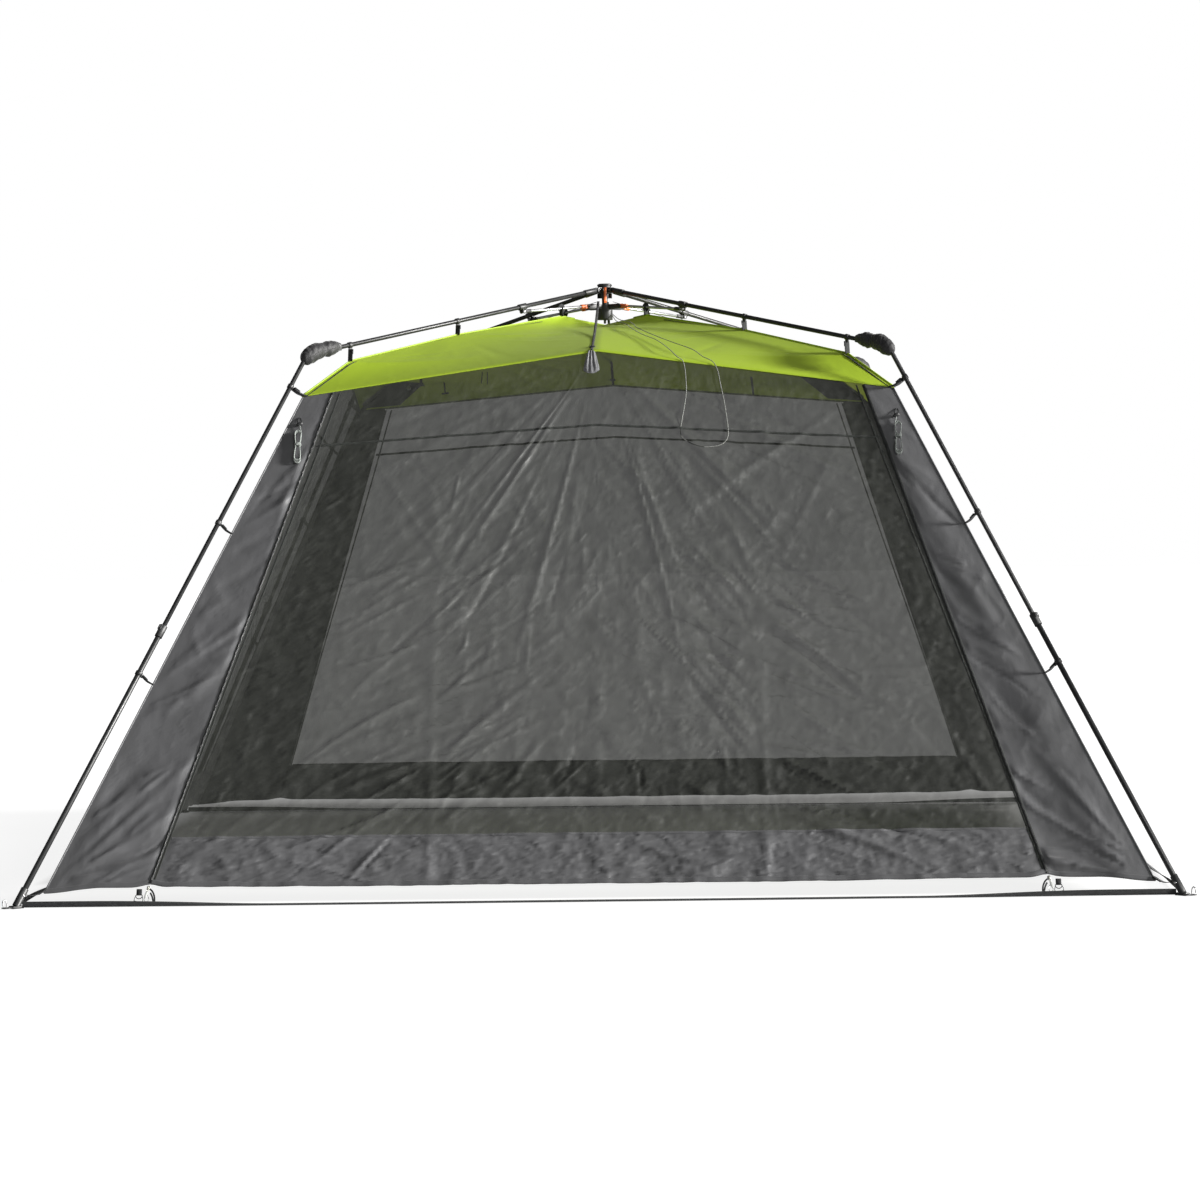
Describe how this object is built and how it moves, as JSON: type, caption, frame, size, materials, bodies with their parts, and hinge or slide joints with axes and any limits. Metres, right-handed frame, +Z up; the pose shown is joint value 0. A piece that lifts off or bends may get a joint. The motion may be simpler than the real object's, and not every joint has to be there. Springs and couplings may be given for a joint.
{
  "type": "screen house",
  "caption": "Instant pop-up screen house: umbrella frame with telescopic splayed legs, hanging green roof, mesh walls with solid skirts and corner panels.",
  "frame": {"origin": "on the ground, midway between the four feet", "axes": "+Z up; -Y towards the front wall, the one with the two zip sliders; +X to the right seen from the front"},
  "size_m": [3.9906, 3.9906, 2.181],
  "materials": {
    "frame_black": "satin black powder coat",
    "fitting_black": "moulded black plastic",
    "strut_silver": "satin tube",
    "pin_steel": "plain steel",
    "lever_orange": "moulded orange plastic",
    "roof_green": "coated polyester",
    "screen_grey": "fine mosquito mesh with a solid skirt",
    "cloth_grey": "coated polyester",
    "webbing_black": "polypropylene webbing",
    "cord_grey": "braided cord",
    "slider_grey": "light grey plastic"
  },
  "bodies": {
    "frame": {"hub_body": "fitting_black", "hub_cap": "fitting_black", "hub_pins": "pin_steel", "roof": "roof_green", "wall_front": "screen_grey", "wall_back": "screen_grey", "wall_left": "screen_grey", "wall_right": "screen_grey", "corner_panels_front": "cloth_grey", "corner_panels_back": "cloth_grey", "gable_straps": "webbing_black", "ground_straps": "webbing_black", "pull_cord": "cord_grey", "guy_line_left": "cord_grey", "guy_line_right": "cord_grey"},
    "lever": {"release_lever": "lever_orange"},
    "runner": {"runner": "fitting_black"},
    "arm_fl": {"arm_fl": "frame_black", "arm_fittings_fl": "fitting_black", "knee_fl": "fitting_black"},
    "strut_fl": {"strut_fl": "strut_silver", "strut_ends_fl": "lever_orange"},
    "upper_leg_fl": {"upper_leg_fl": "frame_black"},
    "lower_leg_fl": {"collar_fl": "fitting_black", "lower_leg_fl": "frame_black", "foot_fl": "fitting_black"},
    "lock_button_fl": {"lock_button_fl": "pin_steel"},
    "arm_fr": {"arm_fr": "frame_black", "arm_fittings_fr": "fitting_black", "knee_fr": "fitting_black"},
    "strut_fr": {"strut_fr": "strut_silver", "strut_ends_fr": "lever_orange"},
    "upper_leg_fr": {"upper_leg_fr": "frame_black"},
    "lower_leg_fr": {"collar_fr": "fitting_black", "lower_leg_fr": "frame_black", "foot_fr": "fitting_black"},
    "lock_button_fr": {"lock_button_fr": "pin_steel"},
    "arm_bl": {"arm_bl": "frame_black", "arm_fittings_bl": "fitting_black", "knee_bl": "fitting_black"},
    "strut_bl": {"strut_bl": "strut_silver", "strut_ends_bl": "lever_orange"},
    "upper_leg_bl": {"upper_leg_bl": "frame_black"},
    "lower_leg_bl": {"collar_bl": "fitting_black", "lower_leg_bl": "frame_black", "foot_bl": "fitting_black"},
    "lock_button_bl": {"lock_button_bl": "pin_steel"},
    "arm_br": {"arm_br": "frame_black", "arm_fittings_br": "fitting_black", "knee_br": "fitting_black"},
    "strut_br": {"strut_br": "strut_silver", "strut_ends_br": "lever_orange"},
    "upper_leg_br": {"upper_leg_br": "frame_black"},
    "lower_leg_br": {"collar_br": "fitting_black", "lower_leg_br": "frame_black", "foot_br": "fitting_black"},
    "lock_button_br": {"lock_button_br": "pin_steel"},
    "zip_slider_left": {"zip_slider_left": "slider_grey"},
    "zip_slider_right": {"zip_slider_right": "slider_grey"}
  },
  "joints": [
    {"name": "fold", "type": "hinge", "parent": "frame", "child": "arm_fl", "pos_m": [-0.02546, -0.02546, 2.156], "axis": [0.7071, -0.7071, 0], "range_deg": [0, 71.2], "deforming": ["roof", "wall_front", "wall_back", "wall_left", "wall_right", "corner_panels_front", "corner_panels_back", "gable_straps", "ground_straps", "pull_cord", "guy_line_left", "guy_line_right"]},
    {"name": "strut_pivot_fl", "type": "hinge", "parent": "arm_fl", "child": "strut_fl", "pos_m": [-0.3009, -0.3009, 2.06337], "axis": [0.7071, -0.7071, 0], "range_deg": [-168.9, 0]},
    {"name": "knee_pivot_fl", "type": "hinge", "parent": "arm_fl", "child": "upper_leg_fl", "pos_m": [-1.036, -1.036, 1.8895], "axis": [0.7071, -0.7071, 0], "range_deg": [-217.2, 0]},
    {"name": "leg_slide_fl", "type": "slide", "parent": "upper_leg_fl", "child": "lower_leg_fl", "axis": [0.401, 0.401, 0.8237], "range_m": [0, 0.93]},
    {"name": "button_press_fl", "type": "slide", "parent": "lower_leg_fl", "child": "lock_button_fl", "axis": [0.5824, 0.5824, -0.5671], "range_m": [0, 0.0025], "stiffness_N_per_m": 400},
    {"name": "arm_fold_fr", "type": "hinge", "parent": "frame", "child": "arm_fr", "pos_m": [0.02546, -0.02546, 2.156], "axis": [0.7071, 0.7071, 0], "range_deg": [0, 71.2]},
    {"name": "strut_pivot_fr", "type": "hinge", "parent": "arm_fr", "child": "strut_fr", "pos_m": [0.3009, -0.3009, 2.06337], "axis": [0.7071, 0.7071, 0], "range_deg": [-168.9, 0]},
    {"name": "knee_pivot_fr", "type": "hinge", "parent": "arm_fr", "child": "upper_leg_fr", "pos_m": [1.036, -1.036, 1.8895], "axis": [0.7071, 0.7071, 0], "range_deg": [-217.2, 0]},
    {"name": "leg_slide_fr", "type": "slide", "parent": "upper_leg_fr", "child": "lower_leg_fr", "axis": [-0.401, 0.401, 0.8237], "range_m": [0, 0.93]},
    {"name": "button_press_fr", "type": "slide", "parent": "lower_leg_fr", "child": "lock_button_fr", "axis": [-0.5824, 0.5824, -0.5671], "range_m": [0, 0.0025], "stiffness_N_per_m": 400},
    {"name": "arm_fold_bl", "type": "hinge", "parent": "frame", "child": "arm_bl", "pos_m": [-0.02546, 0.02546, 2.156], "axis": [-0.7071, -0.7071, 0], "range_deg": [0, 71.2]},
    {"name": "strut_pivot_bl", "type": "hinge", "parent": "arm_bl", "child": "strut_bl", "pos_m": [-0.3009, 0.3009, 2.06337], "axis": [-0.7071, -0.7071, 0], "range_deg": [-168.9, 0]},
    {"name": "knee_pivot_bl", "type": "hinge", "parent": "arm_bl", "child": "upper_leg_bl", "pos_m": [-1.036, 1.036, 1.8895], "axis": [-0.7071, -0.7071, 0], "range_deg": [-217.2, 0]},
    {"name": "leg_slide_bl", "type": "slide", "parent": "upper_leg_bl", "child": "lower_leg_bl", "axis": [0.401, -0.401, 0.8237], "range_m": [0, 0.93]},
    {"name": "button_press_bl", "type": "slide", "parent": "lower_leg_bl", "child": "lock_button_bl", "axis": [0.5824, -0.5824, -0.5671], "range_m": [0, 0.0025], "stiffness_N_per_m": 400},
    {"name": "arm_fold_br", "type": "hinge", "parent": "frame", "child": "arm_br", "pos_m": [0.02546, 0.02546, 2.156], "axis": [-0.7071, 0.7071, 0], "range_deg": [0, 71.2]},
    {"name": "strut_pivot_br", "type": "hinge", "parent": "arm_br", "child": "strut_br", "pos_m": [0.3009, 0.3009, 2.06337], "axis": [-0.7071, 0.7071, 0], "range_deg": [-168.9, 0]},
    {"name": "knee_pivot_br", "type": "hinge", "parent": "arm_br", "child": "upper_leg_br", "pos_m": [1.036, 1.036, 1.8895], "axis": [-0.7071, 0.7071, 0], "range_deg": [-217.2, 0]},
    {"name": "leg_slide_br", "type": "slide", "parent": "upper_leg_br", "child": "lower_leg_br", "axis": [-0.401, -0.401, 0.8237], "range_m": [0, 0.93]},
    {"name": "button_press_br", "type": "slide", "parent": "lower_leg_br", "child": "lock_button_br", "axis": [-0.5824, -0.5824, -0.5671], "range_m": [0, 0.0025], "stiffness_N_per_m": 400},
    {"name": "runner_slide", "type": "slide", "parent": "frame", "child": "runner", "axis": [0, 0, -1], "range_m": [0, 0.6736]},
    {"name": "lever_pull", "type": "hinge", "parent": "frame", "child": "lever", "pos_m": [0.00292, -0.03337, 2.158], "axis": [-0.9962, -0.0872, 0], "range_deg": [0, 22], "stiffness_Nm_per_rad": 0.4},
    {"name": "zip_pull_left", "type": "slide", "parent": "frame", "child": "zip_slider_left", "axis": [0.2893, 0.4163, 0.862], "range_m": [0, 1.9]},
    {"name": "zip_pull_right", "type": "slide", "parent": "frame", "child": "zip_slider_right", "axis": [-0.2893, 0.4163, 0.862], "range_m": [0, 1.9]}
  ],
  "couplings": [
    {"joint": "strut_pivot_fl", "follows": "fold", "ratio": -2.3658},
    {"joint": "knee_pivot_fl", "follows": "fold", "ratio": -3.0429},
    {"joint": "arm_fold_fr", "follows": "fold", "ratio": 1},
    {"joint": "strut_pivot_fr", "follows": "fold", "ratio": -2.3658},
    {"joint": "knee_pivot_fr", "follows": "fold", "ratio": -3.0429},
    {"joint": "arm_fold_bl", "follows": "fold", "ratio": 1},
    {"joint": "strut_pivot_bl", "follows": "fold", "ratio": -2.3658},
    {"joint": "knee_pivot_bl", "follows": "fold", "ratio": -3.0429},
    {"joint": "arm_fold_br", "follows": "fold", "ratio": 1},
    {"joint": "strut_pivot_br", "follows": "fold", "ratio": -2.3658},
    {"joint": "knee_pivot_br", "follows": "fold", "ratio": -3.0429},
    {"joint": "runner_slide", "follows": "fold", "m_per_rad": 0.54163}
  ]
}
